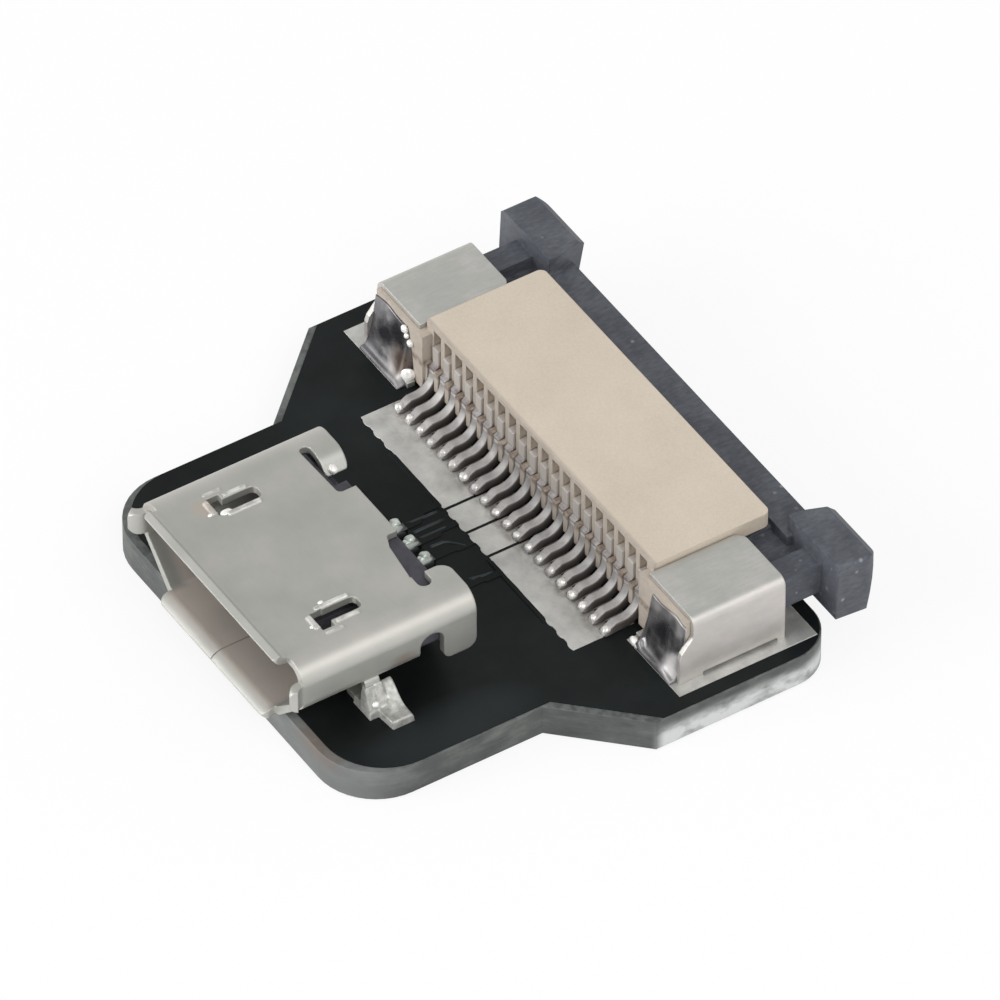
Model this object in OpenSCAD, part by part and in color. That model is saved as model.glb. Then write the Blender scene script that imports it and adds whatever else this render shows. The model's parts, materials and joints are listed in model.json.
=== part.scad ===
// Small adapter board: a micro USB-B receptacle wired to a 20-way, 0.5 mm cable
// connector whose slider is shown pulled open. Millimetres.
// The underside of the board is z = 0, +Y points to where the flat cable enters,
// and x = 0 is the middle of the row of twenty leads.

/* [Board] */
// Board length, front edge to rear edge
board_len = 13; // [12.8:0.1:14]
// Laminate and mask together
board_thick = 1.0; // [0.8:0.1:1.6]
// Half width of the narrow front part that carries the receptacle
front_half = 6.05; // [5.6:0.05:6.4]
// Reach of the wide rear part to the left of the lead row
wide_left = 8.55; // [8.3:0.05:9]
// Reach of the wide rear part to the right of the lead row
wide_right = 8.05; // [8:0.05:9]
// Corner radius at the front
front_corner = 1.7; // [0.5:0.1:2.2]
// Corner radius at the rear
rear_corner = 1.2; // [0.3:0.1:1.5]
// Height of copper and tin above the laminate
copper_thick = 0.05; // [0.04:0.01:0.07]
// Thickness of the solder mask
mask_thick = 0.03; // [0.02:0.005:0.035]
// Strip of bare laminate along the front edge
mask_back_front = 0.24; // [0.1:0.02:0.4]
// Strip of bare laminate along the two shoulders
mask_back_shoulder = 0.17; // [0.05:0.01:0.3]
// Sideways error of the etched copper against the parts
copper_shift = -0.1; // [-0.15:0.01:0.1]

/* [USB receptacle] */
// Middle of the receptacle, to the right of the lead row
usb_x = 0.3; // [0:0.05:0.5]
// Outer width of the shell
shell_w = 7.5; // [7.3:0.05:7.6]
// Top of the shell above the board
shell_h = 2.5; // [2.4:0.05:2.6]
// Sheet thickness of the shell
shell_t = 0.22; // [0.18:0.01:0.26]
// Outer radius of the two upper bends
shell_bend = 0.55; // [0.4:0.05:0.7]
// Length of the shell from the board's front edge to its rear lobes
shell_len = 4.85; // [4.6:0.05:5.2]
// Height at which the side walls turn inwards
shell_knee = 1.27; // [1.1:0.01:1.4]
// Half width of the flat floor of the shell
shell_foot = 2.55; // [2.3:0.05:2.8]
// Inner radius of the flared lips at the mouth
flare_r = 0.26; // [0.22:0.01:0.32]
// Angle through which the top and side lips are bent
flare_angle = 62; // [50:1:65]
// Angle through which the lip under the mouth is bent
floor_flare_angle = 53; // [45:1:56]
// How far the shell stands out over the front edge of the board
overhang = 0.22; // [0.2:0.01:0.3]
// Distance between neighbouring receptacle contacts
usb_pitch = 0.65; // [0.65:0.01:0.65]
// Width of a receptacle contact
usb_contact_w = 0.25; // [0.2:0.01:0.3]

/* [Cable connector] */
// Number of leads
ways = 20; // [20:1:20]
// Distance between neighbouring leads
pitch = 0.5; // [0.5:0.1:0.5]
// Line on which the lead toes end
toe_y = 1.63; // [1.5:0.01:1.8]
// Sheet thickness of a lead, which is its width here
lead_w = 0.26; // [0.18:0.01:0.28]
// Height of a lead's foot
foot_t = 0.27; // [0.2:0.01:0.3]
// Inner radius of the bend from the foot up to the back
lead_bend = 0.5; // [0.4:0.01:0.5]
// Distance from the toes to the front of the leads' backs
lead_back = 1.0; // [0.98:0.01:1.02]
// Half width of the roof
roof_half = 5.24; // [5.16:0.02:5.28]
// Height of the roof above the board
roof_h = 2.2; // [2.1:0.02:2.3]
// Thickness of the roof
roof_t = 0.45; // [0.4:0.01:0.46]
// Depth from the toe line to the housing's front face
face_y = 1.17; // [1.14:0.01:1.18]
// Depth from the toe line to the rear edge of the roof
roof_rear = 4.64; // [4.5:0.01:4.7]
// Half width over the two end tabs
tab_half = 7.3; // [7.25:0.01:7.4]
// Height of the end tabs above the board
tab_h = 2.04; // [2.0:0.01:2.1]
// Sheet thickness of the end tabs
tab_t = 0.15; // [0.12:0.01:0.2]
// Front edge of a tab, from the toe line
tab_front = 1.0; // [0.96:0.01:1.05]
// Rear edge of a tab, from the toe line
tab_rear = 3.72; // [3.6:0.01:3.75]

/* [Slider] */
// How far the slider stands open
slider_out = 1.0; // [0:0.05:1]
// Sideways play taken up by the slider
slider_shift = 0.06; // [-0.06:0.01:0.06]
// Half width over the two ears
ear_half = 7.76; // [7.6:0.01:7.8]
// Inner edge of an ear
ear_inner = 5.49; // [5.45:0.01:5.6]
// Top of the ears above the board
ear_h = 2.18; // [2:0.01:2.2]

/* [Hidden] */
$fn = 40;
half_len = board_len / 2;
// The shoulders start a little further back on the right than on the left
notch_left = -half_len + 5.22;
notch_right = -half_len + 5.5;
shoulder_left = -half_len + 7.85;
shoulder_right = -half_len + 7.56;
laminate_top = board_thick - mask_thick;
row_half = (ways - 1) * pitch / 2;
shell_half = shell_w / 2;
shell_base = 0.04;
// Underside and top of the tongue in the mouth, above the board
tongue_low = 1.38;
tongue_high = 1.95;
eps = 0.01;

laminate_colour = [0.40, 0.43, 0.42];
mask_colour = [0.09, 0.10, 0.10];
tin_colour = [0.62, 0.62, 0.60];
nickel_colour = [0.66, 0.66, 0.63];
black_colour = [0.11, 0.11, 0.12];
beige_colour = [0.83, 0.78, 0.71];
slate_colour = [0.30, 0.31, 0.35];

function unit(v) = v / norm(v);
function lead_x(i) = -row_half + (i - 1) * pitch;
function usb_contact_x(i) = usb_x + (i - 3) * usb_pitch;

// A convex outline with a true arc at each corner that has a radius
module rounded_outline(points, radii) {
  n = len(points);
  before = [for (i = [0:n - 1]) unit(points[(i + n - 1) % n] - points[i])];
  after = [for (i = [0:n - 1]) unit(points[(i + 1) % n] - points[i])];
  half = [for (i = [0:n - 1]) acos(before[i] * after[i]) / 2];
  polygon([for (i = [0:n - 1]) each [
    points[i] + before[i] * radii[i] / tan(half[i]),
    points[i] + after[i] * radii[i] / tan(half[i])
  ]]);
  for (i = [0:n - 1])
    if (radii[i] > 0)
      translate(points[i] + unit(before[i] + after[i]) * radii[i] / sin(half[i]))
        circle(r = radii[i]);
}

// Part of a bent sheet of middle radius r, between two angles less than 180 apart
module bent_strip(r, thick, from, to) {
  far = 3;
  intersection() {
    difference() {
      circle(r = r + thick / 2);
      circle(r = r - thick / 2);
    }
    polygon([[0, 0], far * [cos(from), sin(from)],
             2 * far * [cos((from + to) / 2), sin((from + to) / 2)],
             far * [cos(to), sin(to)]]);
  }
}

// Board outline, drawn in by a different amount along each kind of edge
module board_outline(front, shoulder, side) {
  rounded_outline(
    [[-front_half + side, -half_len + front], [front_half - side, -half_len + front],
     [front_half - side, half_len - side], [-front_half + side, half_len - side]],
    [front_corner, front_corner, 0, 0]
  );
  rounded_outline(
    [[-front_half + side, notch_left + shoulder * 1.4],
     [front_half - side, notch_right + shoulder * 1.4],
     [wide_right - side, shoulder_right + shoulder * 1.4],
     [wide_right - side, half_len - side],
     [-wide_left + side, half_len - side],
     [-wide_left + side, shoulder_left + shoulder * 1.4]],
    [0, 0, 0, rear_corner, rear_corner, 0]
  );
}

module board() {
  color(laminate_colour)
    translate([0, 0, mask_thick])
      linear_extrude(laminate_top - mask_thick)
        board_outline(0, 0, 0);
}

// Tinned pads of a run of leads: a bar across the toes and a finger under each foot
module pad_group_shape(first, last) {
  gap = 0.05;
  front = toe_y - 0.93;
  x0 = lead_x(first) - pitch / 2 + gap + copper_shift;
  x1 = lead_x(last) + pitch / 2 - gap + copper_shift;
  intersection() {
    translate([x0, 0])
      square([x1 - x0, 5]);
    union() {
      translate([x0, front])
        square([x1 - x0, 1.18]);
      for (i = [first:last]) {
        translate([lead_x(i) - 0.16, toe_y])
          square([0.32, 0.85]);
        // Tin bulges over the front edge in line with each lead
        translate([lead_x(i) + copper_shift / 2, front + 0.25])
          circle(r = 0.3);
      }
    }
  }
}

// Path of a trace between a receptacle pad and a point on the bar of pads
module trace_shape(i, x_end) {
  w = 0.2;
  x0 = usb_contact_x(i) + copper_shift;
  y0 = -half_len + 5.8;
  y1 = toe_y - 1.45;
  jog = abs(x_end - x0);
  y2 = y1 - jog;
  translate([x0 - w / 2, y0])
    square([w, y2 - y0]);
  polygon([[x0 - w / 2, y2], [x0 + w / 2, y2], [x_end + w / 2, y1], [x_end - w / 2, y1]]);
  translate([x_end - w / 2, y1])
    square([w, toe_y - 0.9 - y1]);
}

module usb_pad_shape(i) {
  translate([usb_contact_x(i) + copper_shift - 0.17, -half_len + 4.75])
    square([0.34, 1.12]);
}

module anchor_pad_shape(side) {
  inner = 5.34;
  outer = side < 0 ? 7.84 : 7.74;
  translate([copper_shift + (side < 0 ? -outer : inner), toe_y + 0.38])
    square([outer - inner, 4.09]);
}

module lug_pad_shape(side) {
  translate([usb_x, -half_len])
    scale([side, 1])
      lug_outline(0.03);
}

// Where each run of leads is joined to a receptacle contact
nets = [[1, 8, 1, -1.35], [9, 10, 2, -0.55], [11, 12, 3, 0.25], [13, 20, 5, 1.55]];

module net(n) {
  color(tin_colour)
    translate([0, 0, laminate_top])
      linear_extrude(copper_thick)
        pad_group_shape(nets[n][0], nets[n][1]);
  color(tin_colour)
    translate([0, 0, laminate_top])
      linear_extrude(copper_thick)
        usb_pad_shape(nets[n][2]);
  color(tin_colour)
    translate([0, 0, laminate_top])
      linear_extrude(copper_thick / 2)
        trace_shape(nets[n][2], nets[n][3]);
}

module flat_pad() {
  color(tin_colour)
    translate([0, 0, laminate_top])
      linear_extrude(copper_thick)
        children();
}

module every_pad_shape() {
  for (n = nets) {
    pad_group_shape(n[0], n[1]);
    usb_pad_shape(n[2]);
  }
  usb_pad_shape(4);
  for (side = [-1, 1]) {
    anchor_pad_shape(side);
    lug_pad_shape(side);
  }
}

// The mask leaves the pads free and rises where it runs over a trace
module mask_top() {
  color(mask_colour)
    translate([0, 0, laminate_top])
      difference() {
        union() {
          linear_extrude(mask_thick)
            board_outline(mask_back_front, mask_back_shoulder, 0.03);
          linear_extrude(mask_thick + copper_thick / 2)
            for (n = nets)
              trace_shape(n[2], n[3]);
        }
        translate([0, 0, -1])
          linear_extrude(2)
            every_pad_shape();
        translate([0, 0, -1])
          linear_extrude(1 + copper_thick / 2)
            for (n = nets)
              trace_shape(n[2], n[3]);
      }
}

module mask_bottom() {
  color(mask_colour)
    linear_extrude(mask_thick)
      board_outline(0.08, 0.05, 0.03);
}

// Closed cross section of the shell, drawn in by the given amount
module shell_section(inset) {
  s = shell_half - inset;
  top = shell_h - inset;
  base = shell_base + inset;
  foot = shell_foot - inset * 0.42;
  knee = shell_knee + inset * 0.05;
  rounded_outline(
    [[-foot, base], [foot, base], [s, knee], [s, top], [-s, top], [-s, knee]],
    [0.3 - inset / 2, 0.3 - inset / 2, 0.35 - inset / 2,
     shell_bend - inset, shell_bend - inset, 0.35 - inset / 2]
  );
}

// Bent lip in the plane across a shell edge: x points out of the mouth, y outwards
module lip_profile(angle) {
  translate([0, flare_r])
    intersection() {
      difference() {
        circle(r = flare_r + shell_t);
        circle(r = flare_r);
      }
      polygon([[0, 0], [0, -3], [3 * sin(angle), -3], [3 * sin(angle), -3 * cos(angle)]]);
    }
}

// Lip along the straight part from p to q of the outer section, clockwise as seen
// from the mouth, with rounded free corners
module lip(p, q, angle, corner) {
  d = q - p;
  long = norm(d);
  reach = (flare_r + shell_t) * sin(angle);
  translate([p.x, -overhang, p.y])
    rotate([0, -atan2(d.y, d.x), 0])
      intersection() {
        multmatrix([[0, 0, 1, 0], [-1, 0, 0, 0], [0, 1, 0, 0], [0, 0, 0, 1]])
          linear_extrude(long)
            lip_profile(angle);
        translate([0, 0, -1])
          linear_extrude(3)
            rounded_outline(
              [[0, 1], [long, 1], [long, -reach], [0, -reach]],
              [0, 0, corner, corner]);
      }
}

module mouth_lips() {
  wing_low = shell_knee + 0.1;
  wing_high = shell_h - shell_bend + 0.1;
  lip([-3.05, shell_h], [3.05, shell_h], flare_angle, 0.12);
  lip([2.45, shell_base], [-2.45, shell_base], floor_flare_angle, 0.2);
  lip([-shell_half, wing_low], [-shell_half, wing_high], flare_angle, 0.2);
  lip([shell_half, wing_high], [shell_half, wing_low], flare_angle, 0.2);
}

// Latch window: a slot with a round rear end and a wider foot towards the mouth
module latch_window(side) {
  scale([side, 1, 1])
    translate([0, 0, 1.9])
      linear_extrude(1) {
        rounded_outline([[2.1, 1.05], [2.54, 1.05], [2.54, 2.3], [2.1, 2.3]], [0, 0, 0.15, 0.15]);
        translate([2.08, 1.0])
          square([0.66, 0.36]);
      }
}

// The sheet is pressed up into a rounded lip along the edges of each window
module window_ridge(side) {
  scale([side, 1, 1]) {
    translate([2.0, 1.2, shell_h - 0.05])
      rotate([-90, 0, 0])
        cylinder(r = 0.1, h = 0.95);
    translate([2.64, 1.45, shell_h - 0.06])
      rotate([-90, 0, 0])
        cylinder(r = 0.1, h = 0.65);
    translate([2.15, 0.92, shell_h - 0.07])
      rotate([0, 90, 0])
        cylinder(r = 0.12, h = 0.5);
    translate([2.88, 1.0, shell_h - 0.07])
      rotate([-90, 0, 0])
        cylinder(r = 0.1, h = 0.5);
  }
}

// Everything stamped out of the rear of the roof
module rear_cuts() {
  translate([0, 0, shell_h - 0.5])
    linear_extrude(1) {
      // Middle of the roof ends short of the two lobes
      translate([-1.2, 4.42])
        square([3.4, 2]);
      // Left slit in front of the bent tongue, and the notch beside it
      rounded_outline(
        [[-2.88, 3.87], [-1.16, 3.92], [-1.16, 6], [-2.82, 6], [-2.82, 4.17], [-2.88, 4.17]],
        [0, 0.14, 0, 0, 0, 0]);
      translate([-2.88, 4.02])
        circle(r = 0.15);
      // Right notch over the insulator, and the round end of its slit
      rounded_outline(
        [[0.74, 6], [0.74, 4.12], [1.15, 3.95], [2.33, 3.8], [2.33, 6]],
        [0, 0.12, 0.2, 0, 0]);
      translate([2.3, 3.83])
        square([0.3, 0.39]);
      translate([2.6, 4.025])
        circle(r = 0.195);
    }
}

// Rounded inner corner of the right lobe
module lobe_corner() {
  r = 0.34;
  translate([2.33, shell_len - r, shell_h - 0.5])
    difference() {
      translate([-eps, 0, 0])
        cube([r, r + eps, 1]);
      translate([r, 0, -1])
        cylinder(r = r, h = 4);
    }
}

// Tongue of the left lobe: flat, then bent down, with rounded free corners
module bent_tongue() {
  bend_u = -2.75;
  r = 0.4;
  angle = 50;
  mid = shell_h - shell_t / 2;
  difference() {
    translate([0, shell_len, 0])
      rotate([90, 0, 0])
        linear_extrude(shell_len - 4.17) {
          translate([-3.0, mid - shell_t / 2])
            square([bend_u + 3.0 + eps, shell_t]);
          translate([bend_u, mid - r]) {
            bent_strip(r, shell_t, 88 - angle, 91);
            rotate(-angle)
              translate([-eps, r - shell_t / 2])
                square([0.32, shell_t]);
          }
        }
    for (rear = [false, true])
      tongue_corner(rear);
  }
}

// Rounds a free corner of the tongue, at its slit or at its rear edge
module tongue_corner(rear) {
  r = 0.16;
  translate([-2.14 - r, rear ? shell_len - r : 4.17 + r, shell_h - 1])
    scale([1, rear ? 1 : -1, 1])
      difference() {
        cube([r + 0.2, r + eps, 2]);
        translate([0, 0, -1])
          cylinder(r = r, h = 4);
      }
}

// Outline of a soldering lug on the board, drawn in by the given amount
module lug_outline(inset) {
  front = 1.66 + inset;
  back = 2.5 - inset;
  end = 4.45 - inset;
  polygon([[2.75, front], [3.87 - inset, front], [3.87 - inset, front + 0.27], [end, front + 0.27],
           [end, back], [2.75, back]]);
}

// Lug: a plate on the board and a narrower strip that hangs it on the slanted wall
module lug() {
  foot_z = copper_thick - mask_thick;
  translate([0, 0, foot_z])
    linear_extrude(0.18)
      lug_outline(0);
  translate([0, 2.1, 0])
    rotate([90, 0, 0])
      linear_extrude(0.42)
        polygon([[3.36, 0.98], [3.5, 1.05], [3.58, 0.98], [3.88, foot_z + 0.12], [3.66, foot_z + 0.12]]);
}

module rear_leg() {
  rotate([90, 0, 90])
    linear_extrude(shell_t)
      rounded_outline([[0, 0], [0.95, 0], [0.95, 0.9], [0, 0.9]], [0.22, 0.3, 0, 0]);
}

module shell_tube() {
  rotate([90, 0, 0])
    translate([0, 0, -shell_len])
      linear_extrude(shell_len + overhang)
        difference() {
          shell_section(0);
          shell_section(shell_t);
        }
}

module usb_shell_solid() {
  difference() {
    union() {
      difference() {
        shell_tube();
        rear_cuts();
        lobe_corner();
        // The slanted lower walls and the floor stop before the legs
        translate([-5, 3.2, -1])
          cube([10, 3, 1 + shell_knee - 0.02]);
        // Arch between the slanted wall and each rear leg
        translate([-5, 3.55, 1.5])
          rotate([0, 90, 0])
            cylinder(r = 0.35, h = 10);
        translate([-5, 3.2, 0])
          cube([10, 0.7, 1.5]);
      }
      mouth_lips();
      for (side = [-1, 1]) {
        window_ridge(side);
        // Rear legs: the side walls run further down
        translate([side * (shell_half - shell_t / 2) - shell_t / 2, 3.9, 0.8])
          rear_leg();
        scale([side, 1, 1])
          lug();
      }
      bent_tongue();
    }
    for (side = [-1, 1])
      latch_window(side);
    // Butt seam along the floor
    translate([-0.015, -2, -1])
      cube([0.03, 6, 1.6]);
  }
}

module usb_shell() {
  color(nickel_colour)
    translate([usb_x, -half_len, board_thick])
      usb_shell_solid();
}

// Block of the black moulding across the rear of the shell
module insulator_block() {
  rotate([90, 0, 0])
    translate([0, 0, -4.45])
      linear_extrude(1.35)
        shell_section(shell_t + 0.02);
}

module usb_insulator() {
  color(black_colour)
    translate([usb_x, -half_len, board_thick])
      difference() {
        union() {
          intersection() {
            insulator_block();
            translate([-5, 0, 0.3])
              cube([10, 10, 5]);
          }
          translate([-1.95, 0.55, tongue_low])
            cube([3.9, 2.7, tongue_high - tongue_low]);
        }
        // Room for the bent tongue of the shell
        translate([-3.1, 4.1, 1.84])
          cube([1.45, 1, 1]);
        // Grooves that hold the contacts
        for (i = [1:5])
          translate([(i - 3) * usb_pitch, 0, 0])
            contact_channel();
      }
}

module contact_channel() {
  w = usb_contact_w;
  translate([-w / 2, 0.8, tongue_low - eps])
    cube([w, 2.5, 0.12 + eps]);
  translate([-w / 2, 3.0, 0.29])
    cube([w, 1.6, 0.14]);
  translate([-w / 2, 3.0, 0.3])
    cube([w, 0.12, 1.2]);
}

// Contact: spring strip under the tongue, riser in the block, and a soldered tail
module usb_contact(i) {
  w = usb_contact_w;
  z_foot = copper_thick - mask_thick;
  color(tin_colour)
    translate([usb_contact_x(i) - w / 2, -half_len, board_thick])
      rotate([90, 0, 90])
        linear_extrude(w)
          union() {
            polygon([[0.8, tongue_low], [3.1, tongue_low], [3.1, tongue_low + 0.12], [0.9, tongue_low + 0.12]]);
            polygon([[3.0, 0.29], [3.12, 0.29], [3.12, 1.5], [3.0, 1.5]]);
            polygon([[3.0, 0.29], [4.85, 0.29], [4.95, 0.42], [3.0, 0.42]]);
            polygon([[4.85, 0.29], [5.15, z_foot], [5.95, z_foot], [5.95, z_foot + 0.16],
                     [5.25, z_foot + 0.16], [4.95, 0.42], [4.85, 0.42]]);
          }
}

// Lead of the cable connector, cut from sheet that stands on edge: a foot, a wide bend
// up into the comb, a back that shows in its slot, and two beams around the cable
module lead_profile() {
  z0 = copper_thick - mask_thick;
  bend_y = lead_back - lead_bend;
  bend_z = z0 + foot_t + lead_bend;
  // Foot with a toe that is cut down
  translate([0, z0])
    polygon([[0, 0], [bend_y + eps, 0], [bend_y + eps, foot_t], [0.3, foot_t], [0.05, 0.11], [0, 0.08]]);
  translate([bend_y, bend_z])
    bent_strip(lead_bend + foot_t / 2, foot_t, -92, 2);
  // Back, which draws in a little where it enters the upper comb
  upper_back = face_y - 0.06;
  polygon([[lead_back, bend_z], [lead_back + foot_t, bend_z - eps], [1.45, 0.5], [1.6, 0.5],
           [1.6, 1.72], [1.44, 1.6], [1.36, 1.57], [upper_back, 1.55], [upper_back, 1.03],
           [lead_back, 0.97]]);
  // Lower beam with its contact point
  polygon([[1.5, 0.5], [3.3, 0.44], [3.55, 0.64], [3.35, 0.72], [1.5, 0.72]]);
  // Upper beam, above the path of the slider
  polygon([[1.5, 1.56], [2.9, 1.6], [2.9, 1.7], [1.5, 1.72]]);
}

module lead(i) {
  color(tin_colour)
    translate([lead_x(i) - lead_w / 2, toe_y, board_thick])
      rotate([90, 0, 90])
        linear_extrude(lead_w)
          lead_profile();
}

// Housing of the cable connector: roof, floor, end blocks, and a comb of slots
module housing_body() {
  cavity_top = roof_h - roof_t;
  slot_w = lead_w + 0.06;
  difference() {
    union() {
      translate([-roof_half, face_y, 0.12])
        cube([2 * roof_half, roof_rear - face_y, roof_h - 0.12]);
      // Step along the foot of the comb
      translate([-5.05, lead_back - 0.04, 0.12])
        cube([10.1, 0.4, 0.88]);
      for (side = [-1, 1])
        scale([side, 1, 1])
          translate([5.0, 0.88, 0.1])
            cube([tab_half - tab_t - 0.01 - 5.0, 2.82, tab_h - tab_t - 0.11]);
    }
    // Mouth for the cable and the wedge of the slider
    translate([-5.33, 1.85, 0.62])
      cube([10.66, 5, 0.48]);
    translate([-5.15, 2.45, 0.9])
      cube([10.3, 5, cavity_top - 0.9]);
    translate([-8, 3.71, 0.5])
      cube([16, 2, cavity_top - 0.5]);
    // Pockets for the arms and plates of the slider, open to the rear
    for (side = [-1, 1])
      scale([side, 1, 1]) {
        translate([6.05, 1.95, 0.62])
          cube([2, 3, 2]);
        translate([5.1, 2.33, 0.62])
          cube([1, 3, 0.8]);
      }
    // Recess under the comb where the leads come in
    translate([-4.98, 0, -1])
      cube([9.96, 1.45, 1.34]);
    for (i = [1:ways])
      translate([lead_x(i), 0, 0]) {
        // Slot for the back of the lead
        translate([-slot_w / 2, 0.5, 0])
          cube([slot_w, 1.12, roof_h - 0.16]);
        // Room for its beams
        translate([-lead_w / 2 - 0.01, 1.3, 0.4])
          cube([lead_w + 0.02, 2.4, cavity_top - 0.4 + 0.01]);
      }
    // Lead-in bevel for the cable on the floor
    translate([-6, roof_rear, 0.62])
      rotate([0, 90, 0])
        cylinder(r = 0.16, h = 12, $fn = 4);
  }
}

module ffc_housing() {
  r = 0.2;
  color(beige_colour)
    translate([0, toe_y, board_thick])
      difference() {
        housing_body();
        // Rounded rear corners of the roof
        for (side = [-1, 1])
          translate([side * (roof_half - r), roof_rear - r, 0])
            difference() {
              translate([side < 0 ? -1 : 0, 0, 0])
                cube([1, 1, 3]);
              translate([0, 0, -1])
                cylinder(r = r, h = 5);
            }
      }
}

// End tab: sheet folded over the end block and soldered down on the outside. Its
// outer wall reaches further forward at the bottom and is relieved along its foot
module tab(side) {
  bend = 0.25;
  inner = roof_half + 0.05;
  z0 = copper_thick - mask_thick;
  color(nickel_colour)
    translate([0, toe_y, board_thick])
      scale([side, 1, 1]) {
        intersection() {
          translate([0, tab_rear, 0])
            rotate([90, 0, 0])
              linear_extrude(tab_rear - tab_front)
                difference() {
                  rounded_outline(
                    [[inner, z0], [tab_half, z0], [tab_half, tab_h], [inner, tab_h]],
                    [0, 0, bend, 0]);
                  rounded_outline(
                    [[5, -1], [tab_half - tab_t, -1], [tab_half - tab_t, tab_h - tab_t], [5, tab_h - tab_t]],
                    [0, 0, bend - tab_t, 0]);
                }
          // Rounded rear corner beside the roof, and the relief along the foot
          linear_extrude(4)
            rounded_outline(
              [[inner, 0], [8, 0], [8, tab_rear], [inner, tab_rear]],
              [0, 0, 0, 0.3]);
          rotate([90, 0, 90])
            linear_extrude(9)
              polygon([[0, -1], [1.3, -1], [1.3, 0.12], [3.5, 0.12], [3.5, -1], [4, -1], [4, 3], [0, 3]]);
        }
        translate([tab_half - tab_t, 0, 0])
          rotate([90, 0, 90])
            linear_extrude(tab_t)
              polygon([[0.6, z0], [1.1, z0], [1.1, 1.45], [0.98, 1.4], [0.66, 1.0], [0.6, 0.8]]);
        // Foot in front of the end block
        translate([inner, 0.62, z0])
          cube([tab_half - inner, 0.22, 0.16]);
      }
}

// Solder drawn up in front of a tab. Its hollow face runs out at the front, and
// meets the end block at the top
module tab_solder(side) {
  z0 = copper_thick - mask_thick;
  high = 1.6;
  front = 0.4;
  rear = 0.86;
  hollow_y = (rear * rear - front * front - high * high) / (2 * (rear - front));
  color(tin_colour)
    translate([0, toe_y, board_thick])
      scale([side, 1, 1])
        difference() {
          translate([5.46, front, z0])
            cube([tab_half - 5.46 - tab_t, rear - front, high]);
          translate([4, hollow_y, z0 + high + 0.02])
            rotate([0, 90, 0])
              cylinder(r = rear + 0.001 - hollow_y, h = 5, $fn = 160);
          translate([5.2, 0.61, z0 - eps])
            cube([3, 0.24, 0.17 + eps]);
        }
}

// Ear of the slider: side, end and plan outlines cut each other
module ear() {
  deep = 5.17;
  wide = ear_half - ear_inner;
  intersection() {
    translate([ear_inner, 0, 0])
      rotate([90, 0, 90])
        linear_extrude(wide)
          polygon([[3.88, 0.45], [deep - 0.37, 0.36], [deep, ear_h - 0.25],
                   [deep - 0.2, ear_h - 0.08], [3.96, ear_h]]);
    translate([0, 6, 0])
      rotate([90, 0, 0])
        linear_extrude(4)
          polygon([[ear_inner, 0], [ear_half, 0], [ear_half, ear_h - 0.13],
                   [ear_half - 0.14, ear_h + eps], [ear_inner, ear_h + eps]]);
    linear_extrude(4)
      rounded_outline(
        [[ear_inner, 3], [ear_half, 3], [ear_half, deep], [ear_inner + 0.26, deep], [ear_inner, 4.3]],
        [0, 0, 0.4, 0, 0]);
  }
}

// Arm in its pocket under the tab, the plate that guides the edge of the cable, and
// the web from that plate to the wedge
module arm() {
  translate([6.24, 2.1, 0.75])
    cube([0.74, 1.95, 0.95]);
  translate([5.31, 2.45, 0.72])
    cube([1.12, 1.5, 0.6]);
  translate([4.9, 3.1, 1.02])
    cube([0.5, 0.8, 0.3]);
}

// Drawn where the slider stands when it is pushed home
module slider_solid() {
  // Bar that closes the mouth over the cable
  translate([-ear_inner - 0.2, 3.79, 0.86])
    cube([2 * ear_inner + 0.4, 0.91, 0.79]);
  // Wedge that presses the cable on the leads
  translate([-4.98, 0, 0])
    rotate([90, 0, 90])
      linear_extrude(9.96)
        polygon([[2.62, 1.06], [3.9, 0.96], [3.9, 1.46], [2.62, 1.4]]);
  for (side = [-1, 1])
    scale([side, 1, 1]) {
      ear();
      arm();
    }
}

module ffc_slider() {
  color(slate_colour)
    translate([slider_shift, toe_y + slider_out, board_thick])
      slider_solid();
}

board();
mask_top();
mask_bottom();
net(0);  // net_left_rail
net(1);  // net_left_pair
net(2);  // net_right_pair
net(3);  // net_right_rail
flat_pad() usb_pad_shape(4);  // pad_fourth
flat_pad() anchor_pad_shape(-1);  // anchor_pad_left
flat_pad() anchor_pad_shape(1);  // anchor_pad_right
flat_pad() lug_pad_shape(-1);  // lug_pad_left
flat_pad() lug_pad_shape(1);  // lug_pad_right
usb_shell();
usb_insulator();
usb_contact(1);  // usb_contact_1
usb_contact(2);  // usb_contact_2
usb_contact(3);  // usb_contact_3
usb_contact(4);  // usb_contact_4
usb_contact(5);  // usb_contact_5
ffc_housing();
ffc_slider();
tab(-1);  // tab_left
tab(1);  // tab_right
tab_solder(-1);  // tab_solder_left
tab_solder(1);  // tab_solder_right
lead(1);  // lead_01
lead(2);  // lead_02
lead(3);  // lead_03
lead(4);  // lead_04
lead(5);  // lead_05
lead(6);  // lead_06
lead(7);  // lead_07
lead(8);  // lead_08
lead(9);  // lead_09
lead(10);  // lead_10
lead(11);  // lead_11
lead(12);  // lead_12
lead(13);  // lead_13
lead(14);  // lead_14
lead(15);  // lead_15
lead(16);  // lead_16
lead(17);  // lead_17
lead(18);  // lead_18
lead(19);  // lead_19
lead(20);  // lead_20
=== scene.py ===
import json
import math
import random

import bmesh
import bpy
from mathutils import Matrix, Vector, noise


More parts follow.
